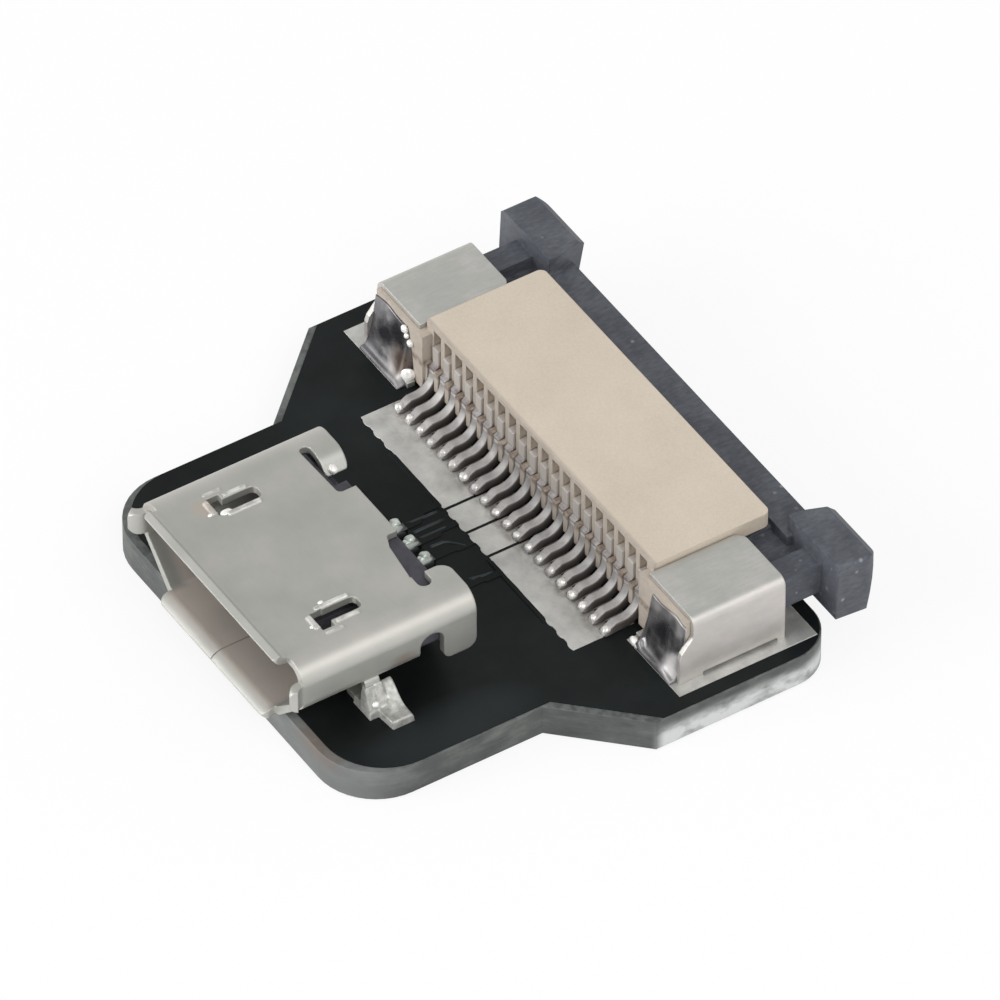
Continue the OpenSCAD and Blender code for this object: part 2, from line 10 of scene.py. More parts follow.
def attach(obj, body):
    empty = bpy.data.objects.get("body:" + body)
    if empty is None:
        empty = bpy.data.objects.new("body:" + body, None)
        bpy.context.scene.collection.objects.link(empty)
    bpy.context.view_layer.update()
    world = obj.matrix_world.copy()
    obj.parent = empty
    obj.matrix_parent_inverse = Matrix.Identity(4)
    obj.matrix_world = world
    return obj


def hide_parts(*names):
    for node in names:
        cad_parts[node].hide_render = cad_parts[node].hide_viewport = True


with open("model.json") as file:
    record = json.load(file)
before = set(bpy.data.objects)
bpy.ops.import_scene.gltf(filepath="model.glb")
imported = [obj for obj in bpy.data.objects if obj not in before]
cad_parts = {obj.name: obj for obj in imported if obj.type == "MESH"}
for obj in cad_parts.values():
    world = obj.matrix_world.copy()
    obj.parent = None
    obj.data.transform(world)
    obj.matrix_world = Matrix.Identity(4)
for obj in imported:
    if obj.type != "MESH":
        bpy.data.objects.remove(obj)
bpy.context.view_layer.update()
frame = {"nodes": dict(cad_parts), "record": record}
nodes = frame["nodes"]
MM = 0.001

# Sizes repeated from the part's source, in millimetres
BOARD = 1.0
PAD_TOP = BOARD + 0.02
PITCH = 0.5
WAYS = 20
TOE_Y = 1.63
PAD_FRONT = TOE_Y - 0.93
LEAD_WIDTH = 0.26
FOOT_THICK = 0.27
LEAD_BEND = 0.5
LEAD_BACK = 1.0
TAB_HALF = 7.3
USB_X = 0.3
FRONT = -6.5
ROOF = BOARD + 2.5
CONTACT_PITCH = 0.65


def lead_x(i):
    """Middle of a lead, counted from 1 at the left."""
    return -(WAYS - 1) * PITCH / 2 + (i - 1) * PITCH


def contact_x(i):
    """Middle of a receptacle contact, counted from 1 at the left."""
    return USB_X + (i - 3) * CONTACT_PITCH


def smoothstep(low, high, value):
    share = min(1, max(0, (value - low) / (high - low)))
    return share * share * (3 - 2 * share)


# Node helpers

def srgb(r, g, b):
    """A colour as it is seen on a screen, 0 to 255, as linear values."""
    def linear(c):
        c = c / 255.0
        return c / 12.92 if c <= 0.04045 else ((c + 0.055) / 1.055) ** 2.4
    return (linear(r), linear(g), linear(b), 1.0)


class Tree:
    """Adds nodes to the emptied node tree of a material or world."""

    def __init__(self, owner):
        owner.use_nodes = True
        self.tree = owner.node_tree
        self.tree.nodes.clear()

    def node(self, kind, **settings):
        node = self.tree.nodes.new(kind)
        for name, value in settings.items():
            setattr(node, name, value)
        return node

    def feed(self, socket, value):
        """Links an output to a socket, or sets the socket to a plain value."""
        if hasattr(value, "links"):
            self.tree.links.new(value, socket)
        else:
            socket.default_value = value

    def math(self, operation, first, second=None, clamp=False):
        node = self.node("ShaderNodeMath", operation=operation, use_clamp=clamp)
        self.feed(node.inputs[0], first)
        if second is not None:
            self.feed(node.inputs[1], second)
        return node.outputs[0]

    def times(self, first, *others):
        for other in others:
            first = self.math("MULTIPLY", first, other)
        return first


class Mat(Tree):
    """One procedural material. Its sizes and places are in millimetres of the CAD frame."""

    def __init__(self, name):
        self.material = bpy.data.materials.new(name)
        super().__init__(self.material)
        out = self.node("ShaderNodeOutputMaterial")
        self.shader = self.node("ShaderNodeBsdfPrincipled")
        self.feed(out.inputs[0], self.shader.outputs[0])
        self.coord = self.node("ShaderNodeTexCoord").outputs["Object"]

    def set(self, **values):
        """Feeds sockets of the shader, with _ for a space in their names."""
        for name, value in values.items():
            self.feed(self.shader.inputs[name.replace("_", " ")], value)

    def scaled(self, x, y, z, turn=(0, 0, 0)):
        node = self.node("ShaderNodeMapping")
        node.inputs["Scale"].default_value = (x, y, z)
        node.inputs["Rotation"].default_value = turn
        self.feed(node.inputs["Vector"], self.coord)
        return node.outputs[0]

    def noise(self, size, detail=3.0, rough=0.55, vector=None):
        node = self.node("ShaderNodeTexNoise")
        node.inputs["Scale"].default_value = 1.0 / (size * MM)
        node.inputs["Detail"].default_value = detail
        node.inputs["Roughness"].default_value = rough
        self.feed(node.inputs["Vector"], vector or self.coord)
        return node.outputs["Fac"]

    def cells(self, size):
        """Distance to the nearest of many scattered points."""
        node = self.node("ShaderNodeTexVoronoi")
        node.inputs["Scale"].default_value = 1.0 / (size * MM)
        self.feed(node.inputs["Vector"], self.coord)
        return node.outputs["Distance"]

    def ramp(self, value, stops):
        node = self.node("ShaderNodeValToRGB")
        elements = node.color_ramp.elements
        while len(elements) < len(stops):
            elements.new(0.5)
        for element, (position, colour) in zip(elements, stops):
            element.position = position
            element.color = colour
        self.feed(node.inputs[0], value)
        return node.outputs[0]

    def grey(self, value, stops):
        return self.ramp(value, [(position, (v, v, v, 1)) for position, v in stops])

    def mix(self, amount, first, second):
        node = self.node("ShaderNodeMix", data_type="RGBA")
        self.feed(node.inputs[0], amount)
        self.feed(node.inputs[6], first)
        self.feed(node.inputs[7], second)
        return node.outputs[2]

    def axis(self, name):
        node = self.node("ShaderNodeSeparateXYZ")
        self.feed(node.inputs[0], self.coord)
        return node.outputs[name]

    def above(self, value, low, high):
        """A mask along a coordinate: 0 up to low, 1 from high."""
        node = self.node("ShaderNodeMapRange", interpolation_type="SMOOTHSTEP")
        self.feed(node.inputs["Value"], value)
        node.inputs["From Min"].default_value = low * MM
        node.inputs["From Max"].default_value = high * MM
        return node.outputs[0]

    def below(self, value, low, high):
        """A mask along a coordinate: 1 up to low, 0 from high."""
        return self.math("SUBTRACT", 1.0, self.above(value, low, high))

    def between(self, value, rise, fall):
        """A mask that rises over the first pair of places and falls over the second pair."""
        return self.times(self.above(value, *rise), self.below(value, *fall))

    def spot(self, centre, reach, strength):
        """A round mask: the strength at the centre, fading to 0 where the reach ends."""
        total = 0.0
        for name, middle, far in zip("XYZ", centre, reach):
            off = self.math("DIVIDE", self.math("SUBTRACT", self.axis(name), middle * MM), far * MM)
            total = self.math("ADD", total, self.math("MULTIPLY", off, off))
        return self.times(self.math("SUBTRACT", 1.0, total, clamp=True), strength)

    def surface(self, bump, height, bevel, strength):
        """Fine relief, over edges that are rounded off by a small radius."""
        relief = self.node("ShaderNodeBump")
        relief.inputs["Strength"].default_value = strength
        relief.inputs["Distance"].default_value = height * MM
        self.feed(relief.inputs["Height"], bump)
        if bevel:
            rounding = self.node("ShaderNodeBevel", samples=6)
            rounding.inputs["Radius"].default_value = bevel * MM
            self.feed(relief.inputs["Normal"], rounding.outputs[0])
        self.feed(self.shader.inputs["Normal"], relief.outputs[0])


# Materials

# Height over which flux begins to show on the leads and on the comb
FLUX_START = (BOARD + 0.80, BOARD + 0.92)


def laminate():
    """Sawn glass laminate: layers along its edges."""
    mat = Mat("laminate_glass")
    x = mat.axis("X")
    y = mat.axis("Y")
    z = mat.axis("Z")
    layers = mat.noise(0.5, 5, 0.6, mat.scaled(0.5, 0.5, 6))
    blotch = mat.noise(1.3, 4, 0.6, mat.scaled(1, 1, 1.6))
    colour = mat.ramp(mat.mix(0.75, layers, blotch), [
        (0.30, srgb(60, 62, 61)), (0.5, srgb(80, 83, 81)), (0.66, srgb(106, 109, 106))])
    # The right part of the front edge is a little paler
    front = mat.times(mat.below(y, FRONT + 0.6, FRONT + 2.0), mat.above(x, -2.5, 0.0), 0.55)
    colour = mat.mix(front, colour, srgb(118, 120, 120))
    # Pale in patches along the lower part of the right side
    right = mat.times(mat.above(x, 6.0, 7.0), mat.above(y, 0.95, 1.35))
    patches = mat.grey(mat.noise(0.9, 4, 0.6, mat.scaled(1, 1, 2)), [(0.34, 0.35), (0.54, 1)])
    pale_side_patches = mat.times(right, mat.below(z, 0.35, 0.80), patches)
    colour = mat.mix(pale_side_patches, colour, srgb(206, 209, 207))
    # The upper rim is pale in places
    patchy = mat.grey(mat.noise(0.25), [(0.4, 0), (0.6, 0.35)])
    rim = mat.times(mat.above(z, BOARD - 0.10, BOARD - 0.04), patchy)
    colour = mat.mix(rim, colour, srgb(128, 134, 131))
    # Burnt flux on the rim of the front right corner
    burnt = mat.spot((4.2, FRONT + 0.1, 0.92), (1.1, 0.7, 0.45), 0.5)
    mat.set(Base_Color=mat.mix(burnt, colour, srgb(112, 94, 82)), Roughness=0.5, Specular_IOR_Level=0.3)
    mat.surface(mat.noise(0.12, 4, 0.6, mat.scaled(0.6, 0.6, 5)), 0.012, 0.03, 0.5)
    return mat.material


def solder_mask():
    """Black lacquer of the board."""
    mat = Mat("solder_mask")
    colour = mat.ramp(mat.noise(2.2, 4, 0.6), [(0.3, srgb(17, 20, 21)), (0.7, srgb(29, 33, 33))])
    # Painted shade darker beside the shell, and a painted reflection that greys it towards the right rim
    dark = mat.spot((3.9, -4.6, BOARD), (1.4, 2.4, 1.0), 0.7)
    colour = mat.mix(dark, colour, srgb(9, 10, 11))
    painted_reflection = mat.spot((5.5, -3.3, BOARD), (1.1, 2.6, 1.0), 0.6)
    mat.set(Base_Color=mat.mix(painted_reflection, colour, srgb(46, 50, 52)),
            Roughness=mat.grey(mat.noise(0.6, 4), [(0.3, 0.34), (0.7, 0.48)]),
            Specular_IOR_Level=0.12)
    mat.surface(mat.mix(0.25, mat.noise(0.9), mat.noise(0.07, 3, 0.6)), 0.012, 0.012, 0.35)
    return mat.material


def trace_mask_highlight():
    """The same lacquer where it lies over the edge of a trace, painted lighter there as a highlight."""
    mat = Mat("trace_mask_highlight")
    # Painted highlight: this lacquer is lighter than the rest of the mask
    mat.set(Base_Color=mat.ramp(mat.noise(0.5), [(0.3, srgb(37, 43, 45)), (0.7, srgb(51, 58, 61))]),
            Roughness=mat.grey(mat.noise(0.3), [(0.3, 0.34), (0.7, 0.46)]),
            Specular_IOR_Level=0.3)
    mat.surface(mat.noise(0.2), 0.006, 0, 0.3)
    return mat.material


def tinned_copper():
    """Tinned pads, slightly wavy."""
    mat = Mat("tinned_copper")
    middle = srgb(206, 206, 202)
    light = (*(min(1, c * 1.2) for c in middle[:3]), 1)
    dark = (*(c * 0.75 for c in middle[:3]), 1)
    colour = mat.ramp(mat.noise(0.9, 4, 0.6), [(0.3, dark), (0.5, middle), (0.7, light)])
    # Flux stains round the toes of the leads
    near = mat.between(mat.axis("Y"), (TOE_Y - 0.34, TOE_Y - 0.12), (TOE_Y + 0.2, TOE_Y + 0.6))
    stain = mat.times(near, mat.grey(mat.noise(0.32, 3, 0.5), [(0.40, 0), (0.66, 0.6)]))
    mat.set(Base_Color=mat.mix(stain, colour, srgb(128, 118, 111)),
            Roughness=mat.grey(mat.noise(0.35, 4), [(0.3, 0.38), (0.7, 0.54)]),
            Metallic=0.7)
    mat.surface(mat.mix(0.3, mat.noise(0.35), mat.noise(0.05)), 0.04, 0.03, 0.35)
    return mat.material


def shell_nickel():
    """Nickel plate of the receptacle, with fine rolling lines."""
    mat = Mat("shell_nickel")
    y = mat.axis("Y")
    z = mat.axis("Z")
    off_centre = mat.math("ABSOLUTE", mat.math("SUBTRACT", mat.axis("X"), USB_X * MM))
    fine = mat.noise(0.03, 3, 0.6)
    lines = mat.noise(0.06, 3, 0.5, mat.scaled(0.12, 1.6, 1))
    cloud = mat.noise(1.6, 4, 0.6)
    colour = mat.ramp(mat.mix(0.12, cloud, lines), [
        (0.3, srgb(172, 173, 167)), (0.5, srgb(180, 180, 174)), (0.7, srgb(189, 186, 181))])
    # Painted light: paler inside the mouth and on the bottom lip, but not on the cut edges beside the lip
    lip = mat.times(mat.below(off_centre, 2.25, 2.55), mat.above(y, FRONT - 0.55, FRONT - 0.15))
    mouth = mat.math("MAXIMUM", lip, mat.above(y, FRONT - 0.05, FRONT + 0.35))
    painted_light_inside = mat.times(mat.below(off_centre, 3.40, 3.52), mat.below(z, ROOF - 0.35, ROOF - 0.26),
                       mat.below(y, FRONT + 0.8, FRONT + 1.3), mouth)
    colour = mat.mix(painted_light_inside, colour, srgb(229, 219, 210))
    # Painted highlight along the two bends of the roof
    painted_bend_highlight = mat.times(mat.above(off_centre, 2.9, 3.45), mat.above(z, ROOF - 0.55, ROOF - 0.25), 0.15)
    colour = mat.mix(painted_bend_highlight, colour, srgb(240, 230, 222))
    # Painted highlight in places on the pressed-up edges of the windows
    patchy = mat.grey(mat.noise(0.3), [(0.4, 0.15), (0.6, 0.8)])
    painted_edge_highlight = mat.times(mat.above(z, ROOF + 0.012, ROOF + 0.035),
                       mat.above(y, FRONT + 0.4, FRONT + 0.6), patchy)
    colour = mat.mix(painted_edge_highlight, colour, srgb(240, 237, 233))
    # Flux at the foot of the right wall, and a painted warm glint at the front of the left window
    wall_flux = mat.spot((4.05, -3.8, 2.45), (0.35, 0.45, 0.22), 0.5)
    colour = mat.mix(wall_flux, colour, srgb(148, 122, 104))
    painted_window_glint = mat.spot((-2.2, -5.7, ROOF), (0.4, 0.4, 0.3), 0.3)
    mat.set(Base_Color=mat.mix(painted_window_glint, colour, srgb(196, 166, 142)),
            Roughness=mat.grey(mat.mix(0.5, cloud, fine), [(0.3, 0.36), (0.7, 0.48)]),
            Metallic=0.65)
    mat.surface(mat.mix(0.7, lines, fine), 0.003, 0.06, 0.25)
    return mat.material


def tab_tin():
    """Matt tin plate of the two end tabs."""
    mat = Mat("tab_tin")
    cloud = mat.noise(1.1, 4, 0.65)
    streak = mat.noise(0.10, 3, 0.6, mat.scaled(1.4, 0.2, 0.5))
    colour = mat.ramp(mat.mix(0.35, cloud, streak), [
        (0.3, srgb(182, 184, 178)), (0.5, srgb(193, 193, 188)), (0.72, srgb(209, 205, 202))])
    # Painted light: the outer sides are paler than the tops; they are also warmer in tint
    off_centre = mat.math("ABSOLUTE", mat.axis("X"))
    outer = mat.times(mat.above(off_centre, TAB_HALF - 0.20, TAB_HALF - 0.04), 0.25)
    mat.set(Base_Color=mat.mix(outer, colour, srgb(232, 218, 217)),
            Roughness=mat.grey(mat.mix(0.5, cloud, mat.noise(0.05)), [(0.3, 0.42), (0.7, 0.58)]),
            Metallic=0.85)
    mat.surface(mat.mix(0.4, streak, mat.noise(0.05)), 0.006, 0.05, 0.35)
    return mat.material


def lead_tin():
    """Tin plate of the leads."""
    mat = Mat("lead_tin")
    z = mat.axis("Z")
    cloud = mat.noise(0.3, 4, 0.6)
    colour = mat.ramp(cloud, [(0.3, srgb(158, 156, 155)), (0.7, srgb(187, 184, 182))])
    # Painted light: paler inside the comb
    colour = mat.mix(mat.above(z, BOARD + 1.00, BOARD + 1.15), colour, srgb(204, 198, 192))
    # Painted shade darkens the sides of the leads in the narrow gaps between them
    first_gap = (lead_x(1) - PITCH / 2) * MM
    turns = mat.math("DIVIDE", mat.math("SUBTRACT", mat.axis("X"), first_gap), PITCH * MM)
    off_lead = mat.times(mat.math("SUBTRACT", mat.math("FRACT", turns), 0.5), PITCH * MM)
    side = mat.times(mat.above(mat.math("ABSOLUTE", off_lead), 0.100, 0.138),
                     mat.below(z, BOARD + 0.90, BOARD + 1.05), 0.85)
    colour = mat.mix(side, colour, srgb(70, 62, 57))
    # Flux gathers where the leads pass into the comb
    patches = mat.grey(mat.noise(0.16), [(0.35, 0.1), (0.6, 0.6)])
    line = mat.times(mat.between(z, FLUX_START, (BOARD + 0.98, BOARD + 1.10)), patches)
    mat.set(Base_Color=mat.mix(line, colour, srgb(96, 74, 62)),
            Roughness=mat.grey(cloud, [(0.3, 0.42), (0.7, 0.55)]),
            Metallic=0.45)
    mat.surface(mat.noise(0.10), 0.008, 0.04, 0.3)
    return mat.material


def bright_solder():
    """Smooth solder, as on the beads at the toes."""
    mat = Mat("bright_solder")
    mat.set(Base_Color=mat.ramp(mat.noise(0.4), [(0.3, srgb(214, 212, 208)), (0.7, srgb(240, 238, 235))]),
            Roughness=mat.grey(mat.noise(0.2), [(0.3, 0.24), (0.7, 0.34)]),
            Metallic=0.4)
    mat.surface(mat.noise(0.25), 0.01, 0, 0.2)
    return mat.material


def painted_highlight_solder():
    """Smooth solder of the single drops, painted nearly white as highlights."""
    mat = Mat("painted_highlight_solder")
    mat.set(Base_Color=mat.ramp(mat.noise(0.2), [(0.3, srgb(240, 238, 234)), (0.7, srgb(250, 249, 246))]),
            Roughness=mat.grey(mat.noise(0.2), [(0.3, 0.22), (0.7, 0.3)]),
            Metallic=0.25)
    mat.surface(mat.noise(0.2), 0.01, 0, 0.2)
    return mat.material


def fillet_solder():
    """Solder of the tabs: mirror-bright in places, frosted in others."""
    mat = Mat("fillet_solder")
    x = mat.axis("X")
    z = mat.axis("Z")
    patch = mat.noise(0.8, 3, 0.5)
    colour = mat.ramp(patch, [
        (0.36, srgb(104, 103, 108)), (0.54, srgb(142, 140, 142)), (0.68, srgb(206, 203, 202))])
    # The right one is frosted at the outer wall of the tab and at its top, and painted light along its
    # inner edge as a highlight
    on_right = mat.above(x, 5.0, 5.2)
    wall = mat.times(mat.above(x, 6.30, 6.80), mat.below(z, BOARD + 0.6, BOARD + 1.2))
    edge = mat.times(mat.below(x, 5.52, 5.72), on_right, 0.45)
    top = mat.times(mat.above(z, BOARD + 1.15, BOARD + 1.5), on_right, 0.4)
    frost_and_highlight_mask = mat.math("MAXIMUM", wall, mat.math("MAXIMUM", edge, top))
    frost_and_highlight = mat.times(frost_and_highlight_mask, mat.grey(mat.noise(0.4), [(0.35, 0.5), (0.6, 1)]))
    colour = mat.mix(frost_and_highlight, colour, srgb(196, 193, 193))
    # Both have a dull rim at the bottom
    rim = mat.below(z, BOARD + 0.12, BOARD + 0.34)
    colour = mat.mix(mat.times(rim, 0.6), colour, srgb(118, 117, 117))
    # Painted reflection of the corner drop: a brown glow beside it on the left one
    painted_drop_reflection = mat.spot((-5.75, 2.3, 1.6), (0.5, 0.5, 0.5), 0.6)
    dull = mat.times(mat.math("MAXIMUM", frost_and_highlight, rim), 0.22)
    mat.set(Base_Color=mat.mix(painted_drop_reflection, colour, srgb(150, 122, 100)),
            Roughness=mat.math("ADD", mat.grey(patch, [(0.38, 0.18), (0.62, 0.42)]), dull),
            Metallic=0.9)
    mat.surface(mat.noise(0.35, 2), 0.02, 0, 0.25)
    return mat.material


def frosted_solder(name, dark, light, size, crown=None):
    """Frosted solder in patches of a size. With a crown height, it is painted dark below that height, as
    shade.
    """
    mat = Mat(name)
    colour = mat.ramp(mat.noise(size, 4, 0.6), [(0.35, srgb(*dark)), (0.65, srgb(*light))])
    if crown is not None:
        # Painted shade on the sides below the crown
        low = mat.below(mat.axis("Z"), BOARD + crown - 0.08, BOARD + crown)
        colour = mat.mix(low, colour, srgb(74, 76, 77))
    mat.set(Base_Color=colour,
            Roughness=mat.grey(mat.noise(0.1), [(0.3, 0.30), (0.7, 0.46)]),
            Metallic=0.4)
    mat.surface(mat.noise(0.12, 4, 0.6), 0.014, 0, 0.4)
    return mat.material


def black_moulding():
    """Insulator of the receptacle."""
    mat = Mat("black_moulding")
    mat.set(Base_Color=mat.ramp(mat.noise(0.5, 4), [(0.3, srgb(54, 53, 59)), (0.7, srgb(80, 78, 86))]),
            Roughness=mat.grey(mat.noise(0.2), [(0.3, 0.45), (0.7, 0.6)]),
            Specular_IOR_Level=0.35)
    mat.surface(mat.noise(0.05), 0.004, 0.03, 0.4)
    return mat.material


def contact_plate():
    """Receptacle contacts: gold in the mouth, dark tin at the tails."""
    mat = Mat("contact_plate")
    tail = mat.above(mat.axis("Y"), FRONT + 4.6, FRONT + 5.1)
    gold = mat.ramp(mat.noise(0.3), [(0.3, srgb(176, 160, 118)), (0.7, srgb(206, 190, 146))])
    tin = mat.ramp(mat.noise(0.2), [(0.3, srgb(70, 72, 72)), (0.7, srgb(98, 100, 99))])
    mat.set(Base_Color=mat.mix(tail, gold, tin),
            Roughness=mat.grey(mat.noise(0.2), [(0.3, 0.22), (0.7, 0.36)]),
            Metallic=1.0)
    mat.surface(mat.noise(0.06), 0.004, 0.03, 0.3)
    return mat.material


def beige_moulding():
    """Housing of the cable connector."""
    mat = Mat("beige_moulding")
    grain = mat.noise(0.06, 3, 0.6)
    colour = mat.ramp(mat.mix(0.5, mat.noise(2.0, 4, 0.6), grain), [
        (0.3, srgb(196, 184, 167)), (0.5, srgb(204, 192, 176)), (0.7, srgb(211, 200, 185))])
    # The comb is greyed by soldering
    comb = mat.below(mat.axis("Y"), TOE_Y + 1.19, TOE_Y + 1.30)
    grime = mat.times(comb, mat.grey(mat.noise(0.25, 4), [(0.3, 0.55), (0.65, 0.85)]))
    colour = mat.mix(grime, colour, srgb(170, 160, 150))
    # A brown line of flux runs along its step
    patches = mat.grey(mat.noise(0.16), [(0.35, 0.15), (0.6, 0.7)])
    step = mat.between(mat.axis("Z"), FLUX_START, (BOARD + 0.99, BOARD + 1.12))
    line = mat.times(step, comb, patches)
    mat.set(Base_Color=mat.mix(line, colour, srgb(92, 70, 56)),
            Roughness=mat.grey(grain, [(0.3, 0.5), (0.7, 0.62)]),
            Specular_IOR_Level=0.3)
    mat.surface(grain, 0.004, 0.03, 0.35)
    return mat.material


def slate_moulding():
    """Slider of the cable connector, with glass fibres that show as pale specks."""
    mat = Mat("slate_moulding")
    cloud = mat.noise(1.2, 5, 0.65)
    fibre = mat.noise(0.09, 3, 0.6, mat.scaled(1, 0.35, 1, (0.3, 0.5, 0.9)))
    colour = mat.ramp(mat.mix(0.45, cloud, fibre), [
        (0.3, srgb(58, 60, 67)), (0.5, srgb(79, 82, 89)), (0.7, srgb(102, 105, 111))])
    specks = mat.grey(mat.cells(0.42), [(0.0, 1), (0.10, 0.7), (0.16, 0)])
    patches = mat.grey(mat.noise(0.8, 2), [(0.50, 0), (0.60, 0.8)])
    mat.set(Base_Color=mat.mix(mat.times(specks, patches), colour, srgb(150, 152, 157)),
            Roughness=mat.grey(fibre, [(0.3, 0.42), (0.7, 0.6)]),
            Specular_IOR_Level=0.35)
    mat.surface(mat.mix(0.5, fibre, mat.noise(0.05)), 0.006, 0.06, 0.4)
    return mat.material


# By the record's material slots. A name with a dot is a variant of a slot, for the new pieces
MATERIALS = {
    "laminate": laminate(),
    "solder_mask": solder_mask(),
    "solder_mask.trace_highlight": trace_mask_highlight(),
    "tinned_copper": tinned_copper(),
    "shell_nickel": shell_nickel(),
    "black_moulding": black_moulding(),
    "contact_plate": contact_plate(),
    "beige_moulding": beige_moulding(),
    "slate_moulding": slate_moulding(),
    "tab_tin": tab_tin(),
    "solder": bright_solder(),
    "solder.fillet": fillet_solder(),
    "solder.tail": frosted_solder("tail_solder", (190, 199, 191), (226, 233, 226), 0.12, 0.24),
    "solder.lug": frosted_solder("lug_solder", (160, 161, 156), (212, 211, 206), 0.22),
    "solder.painted_highlight": painted_highlight_solder(),
    "lead_tin": lead_tin(),
}
for subpart in frame["record"]["subparts"]:
    for material_slot in nodes[subpart["node"]].material_slots:
        material_slot.material = MATERIALS[subpart["material_slot"]]


# Mesh helpers

def piece(name, bm, slot, look=None):
    """An object that rides on the board, in the material of its slot or a variant of it."""
    bmesh.ops.recalc_face_normals(bm, faces=bm.faces)
    mesh = bpy.data.meshes.new(name)
    bm.to_mesh(mesh)
    bm.free()
    mesh.materials.append(MATERIALS[look or slot])
    mesh.shade_smooth()
    obj = bpy.data.objects.new(name, mesh)
    bpy.context.scene.collection.objects.link(obj)
    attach(obj, "socket_board")
    return obj


def loft(rings):
    """Closed skin through rings of points, with flat ends."""
    bm = bmesh.new()
    rows = [[bm.verts.new(Vector(point) * MM) for point in ring] for ring in rings]
    count = len(rows[0])
    for row, following in zip(rows, rows[1:]):
        for j in range(count):
            k = (j + 1) % count
            bm.faces.new((row[j], row[k], following[k], following[j]))
    bm.faces.new(rows[0][::-1])
    bm.faces.new(rows[-1])
    return bm


def height_field(grid, underside):
    """Closed skin over a grid of points, with a flat underside at a height."""
    bm = bmesh.new()
    top = [[bm.verts.new(Vector(point) * MM) for point in row] for row in grid]
    low = [[bm.verts.new(Vector((x, y, underside)) * MM) for x, y, z in row] for row in grid]
    rows = len(grid) - 1
    columns = len(grid[0]) - 1
    for i in range(rows):
        for j in range(columns):
            bm.faces.new((top[i][j], top[i + 1][j], top[i + 1][j + 1], top[i][j + 1]))
            bm.faces.new((low[i][j], low[i][j + 1], low[i + 1][j + 1], low[i + 1][j]))
    for j in range(columns):
        bm.faces.new((top[0][j], top[0][j + 1], low[0][j + 1], low[0][j]))
        bm.faces.new((top[-1][j + 1], top[-1][j], low[-1][j], low[-1][j + 1]))
    for i in range(rows):
        bm.faces.new((top[i + 1][0], top[i][0], low[i][0], low[i + 1][0]))
        bm.faces.new((top[i][-1], top[i + 1][-1], low[i + 1][-1], low[i][-1]))
    return bm


def side_word(side):
    return "left" if side < 0 else "right"


# The undersides of tin and mask lie this far inside the surface that they rest on
SINK = 0.004
# Solder over the lugs and in front of the tabs is at least this high
LOWEST = 0.012


# Tin on the leads

TIN = 0.013
TIN_CORNER = 0.07
TIN_WAVER = 0.03
SKIRT = 0.5
SKIRT_END = (0.05, 0.5)
TOE_END = (0.0, 0.32)
TOE_NARROWING = 0.12
TOE_DROP = 0.14
NOSE = 0.09
NOSE_STEP = 28
FOOT_STATIONS = (0.0, 0.04, 0.09, 0.15, 0.22, 0.30, 0.38, 0.45)
BEND_STEPS = 16


def rounded_section(half_width, half_thick, radius, steps=4):
    """Points of a rectangle with rounded corners, counter-clockwise."""
    points = []
    for x, y, start in ((1, 1, 0), (-1, 1, 90), (-1, -1, 180), (1, -1, 270)):
        for k in range(steps + 1):
            angle = math.radians(start + 90 * k / steps)
            points.append((x * (half_width - radius) + radius * math.cos(angle),
                           y * (half_thick - radius) + radius * math.sin(angle)))
    return points


def lead_path():
    """Middle line of a lead from its toe to the comb: (y from the toe, z, slope in degrees)."""
    foot = PAD_TOP + FOOT_THICK / 2
    bend_y = LEAD_BACK - LEAD_BEND
    radius = LEAD_BEND + FOOT_THICK / 2
    path = [(y, foot, 0) for y in FOOT_STATIONS]
    for k in range(BEND_STEPS + 1):
        slope = 90 * k / BEND_STEPS
        angle = math.radians(slope)
        path.append((bend_y + radius * math.sin(angle), foot + radius * (1 - math.cos(angle)), slope))
    path.append((bend_y + radius, foot + radius + 0.10, 90))
    return path


def lead_ring(i, y, z, slope):
    """Ring of tin round a lead. It has a skirt at the foot, and slopes down at the toe."""
    half_thick = FOOT_THICK / 2 + TIN
    angle = math.radians(slope)
    toe = 1 - smoothstep(*TOE_END, y) if slope == 0 else 0
    swell = 1 + TIN_WAVER * noise.noise(Vector((i * 3.1, y * 4, z * 4)))
    ring = []
    for across, up in rounded_section(LEAD_WIDTH / 2 + TIN, half_thick, TIN_CORNER):
        low = max(0, -up / half_thick)
        skirt = SKIRT * low * (1 - smoothstep(*SKIRT_END, y))
        across *= swell * (1 + skirt - TOE_NARROWING * toe)
        if up > 0:
            up -= toe * (TOE_DROP + 0.03 * up)
        height = max(z + up * math.cos(angle), PAD_TOP - SINK)
        ring.append((lead_x(i) + across, TOE_Y + y - up * math.sin(angle), height))
    return ring


def tin_on_lead(i):
    middle = lead_x(i)
    rings = [lead_ring(i, *station) for station in lead_path()]
    first = rings[0]
    # Round nose
    for k in (1, 2, 3):
        angle = math.radians(NOSE_STEP * k)
        shrink = math.cos(angle)
        rings.insert(0, [(middle + (x - middle) * shrink, TOE_Y - NOSE * math.sin(angle),
                          PAD_TOP + (z - PAD_TOP) * shrink) for x, y, z in first])
    piece("lead_tin_%02d" % i, loft(rings), "lead_tin")


for i in range(1, WAYS + 1):
    tin_on_lead(i)


# Drops of solder

DROP_SWELL = 0.12


